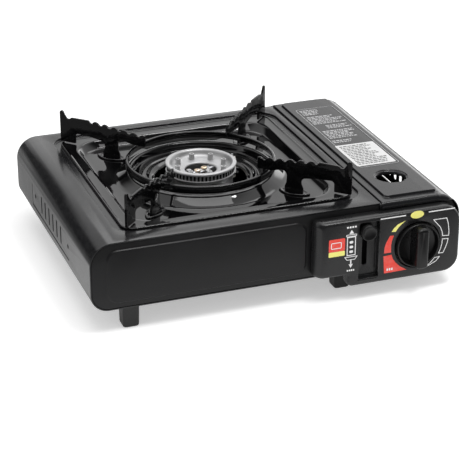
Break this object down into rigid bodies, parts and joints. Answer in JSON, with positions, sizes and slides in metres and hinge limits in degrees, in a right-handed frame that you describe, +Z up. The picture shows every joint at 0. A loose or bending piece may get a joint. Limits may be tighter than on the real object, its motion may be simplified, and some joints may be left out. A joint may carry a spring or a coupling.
{
  "type": "portable gas stove",
  "caption": "Low table-top gas stove: round burner in an enamelled tray with a toothed pan support, hinged cartridge cover, lock lever and turning gas knob.",
  "frame": {"origin": "the middle of the stove's width and of its whole depth, on the table under its feet", "axes": "+Z up; the control panel faces -Y; +X towards the cartridge cover, the user's right"},
  "size_m": [0.34, 0.2886, 0.116],
  "materials": {
    "painted_steel": "satin black paint",
    "panel_paint": "matt black paint",
    "enamel": "high-gloss black vitreous enamel",
    "zinc_steel": "zinc-plated steel",
    "burner_aluminium": "satin cast aluminium",
    "brass": "turned brass",
    "panel_plastic": "fine-grained black plastic",
    "knob_plastic": "satin black plastic",
    "diecast": "grey die-cast alloy",
    "foot_rubber": "matt black plastic",
    "ceramic": "white glazed ceramic",
    "lead_insulation": "red silicone insulation"
  },
  "bodies": {
    "body": {"body_shell": "painted_steel", "front_panel": "panel_paint", "back_panel": "panel_paint", "partition_wall": "zinc_steel", "cartridge_cradle": "painted_steel", "foot_fl": "foot_rubber", "foot_fr": "foot_rubber", "foot_bl": "foot_rubber", "foot_br": "foot_rubber", "foot_screw_fl": "zinc_steel", "foot_screw_fr": "zinc_steel", "foot_screw_bl": "zinc_steel", "foot_screw_br": "zinc_steel", "burner_base": "burner_aluminium", "burner_head": "burner_aluminium", "burner_bridge": "zinc_steel", "bridge_screw_1": "brass", "bridge_screw_2": "brass", "mixing_tube": "burner_aluminium", "burner_bracket": "zinc_steel", "electrode_insulator": "ceramic", "electrode_wire": "zinc_steel", "electrode_bracket": "zinc_steel", "ignition_lead": "lead_insulation", "piezo_igniter": "panel_plastic", "regulator_body": "diecast", "regulator_screw_1": "zinc_steel", "regulator_screw_2": "zinc_steel", "gas_jet": "brass", "control_panel": "panel_plastic", "panel_screw_1": "zinc_steel", "panel_screw_2": "zinc_steel", "panel_screw_3": "zinc_steel", "carriage_rivet_1": "zinc_steel", "carriage_rivet_2": "zinc_steel", "lid_hinge_pin_front": "zinc_steel", "lid_hinge_pin_back": "zinc_steel"},
    "pan_support": {"drip_tray": "enamel", "trivet_ring": "enamel", "trivet_arm_fl": "enamel", "trivet_arm_fr": "enamel", "trivet_arm_bl": "enamel", "trivet_arm_br": "enamel"},
    "lid": {"gas_lid": "painted_steel"},
    "knob": {"control_knob": "knob_plastic", "valve_stem": "brass"},
    "lever": {"lock_lever": "panel_plastic", "lever_slide": "zinc_steel"},
    "carriage": {"cartridge_carriage": "zinc_steel"}
  },
  "joints": [
    {"name": "lid_hinge", "type": "hinge", "parent": "body", "child": "lid", "pos_m": [0.1635, 0.01125, 0.047], "axis": [0, 1, 0], "range_deg": [0, 100]},
    {"name": "knob_turn", "type": "hinge", "parent": "body", "child": "knob", "pos_m": [0.1252, -0.13175, 0.0459], "axis": [0, -1, 0], "range_deg": [0, 130]},
    {"name": "lever_travel", "type": "slide", "parent": "body", "child": "lever", "axis": [0, 0, -1], "range_m": [0, 0.024]},
    {"name": "carriage_travel", "type": "slide", "parent": "body", "child": "carriage", "axis": [0, -1, 0], "range_m": [0, 0.006]},
    {"name": "pan_support_lift", "type": "slide", "parent": "body", "child": "pan_support", "axis": [0, 0, 1], "range_m": [0, 0.06]}
  ],
  "couplings": [
    {"joint": "carriage_travel", "follows": "lever_travel", "ratio": 0.25}
  ]
}
